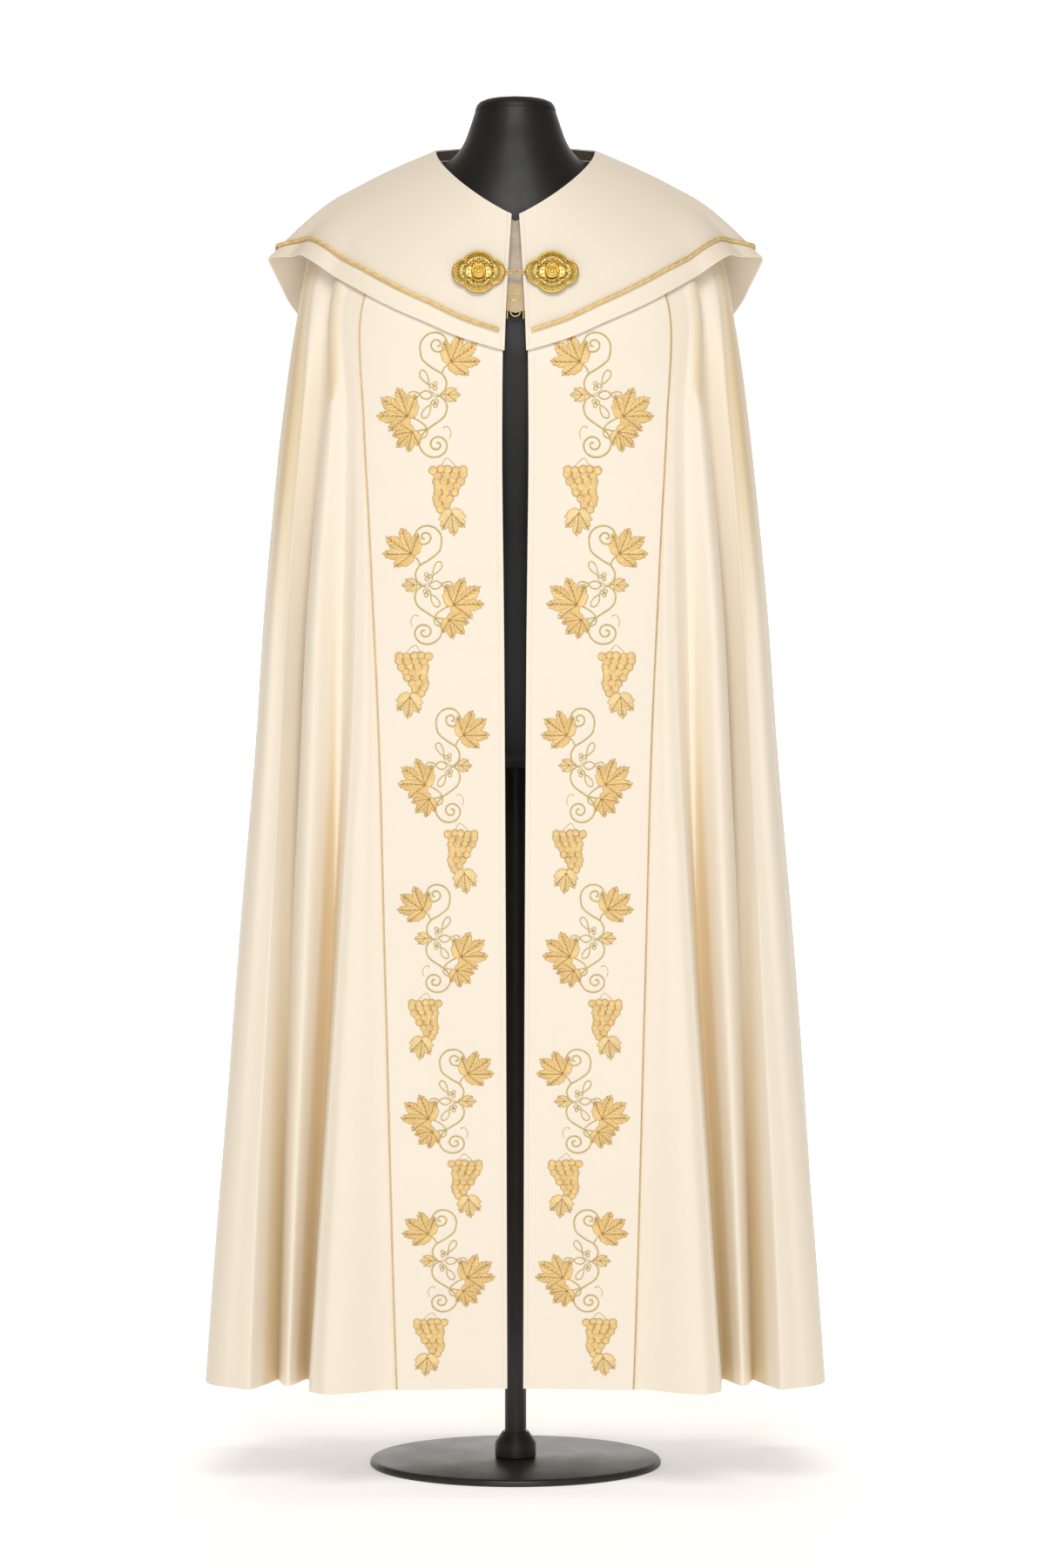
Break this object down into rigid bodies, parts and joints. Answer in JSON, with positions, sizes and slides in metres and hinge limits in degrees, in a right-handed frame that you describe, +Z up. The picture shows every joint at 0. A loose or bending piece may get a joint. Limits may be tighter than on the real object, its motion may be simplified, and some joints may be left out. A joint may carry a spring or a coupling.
{
  "type": "cope vestment on a limbless dress form",
  "caption": "Floor-length open-front cope in cream satin with embroidered vine bands, a corded hood and a metal clasp, on a limbless dress form with a pole and a round base.",
  "frame": {"origin": "centre of the round base's underside, on the floor under the pole", "axes": "+Z up along the pole, -Y the way the wearer faces, +X towards the wearer's left"},
  "size_m": [0.7084, 0.5332, 1.597],
  "materials": {
    "cream_satin": "soft satin, heavy drape",
    "band_satin": "satin with gold thread embroidery",
    "gold_cord": "twisted metallic thread",
    "tan_brocade": "satin",
    "polished_gold": "gilt, polished",
    "form_shell": "black satin lacquer",
    "black_metal": "black, semi-gloss"
  },
  "bodies": {
    "root": {"mantle_front_left": "cream_satin", "mantle_front_right": "cream_satin", "mantle_back": "cream_satin", "hood": "cream_satin", "orphrey_left": "band_satin", "orphrey_right": "band_satin", "orphrey_piping_left": "gold_cord", "orphrey_piping_right": "gold_cord", "hood_piping": "gold_cord", "closing_tab": "tan_brocade", "clasp_medallion_left": "polished_gold", "clasp_medallion_right": "polished_gold", "clasp_boss_left": "polished_gold", "clasp_boss_right": "polished_gold", "clasp_link_left": "polished_gold", "clasp_link_right": "polished_gold", "clasp_hook": "polished_gold", "form_torso": "form_shell", "form_neck_cap": "form_shell", "form_pole": "black_metal", "form_collar": "black_metal", "form_base": "black_metal"}
  },
  "joints": []
}
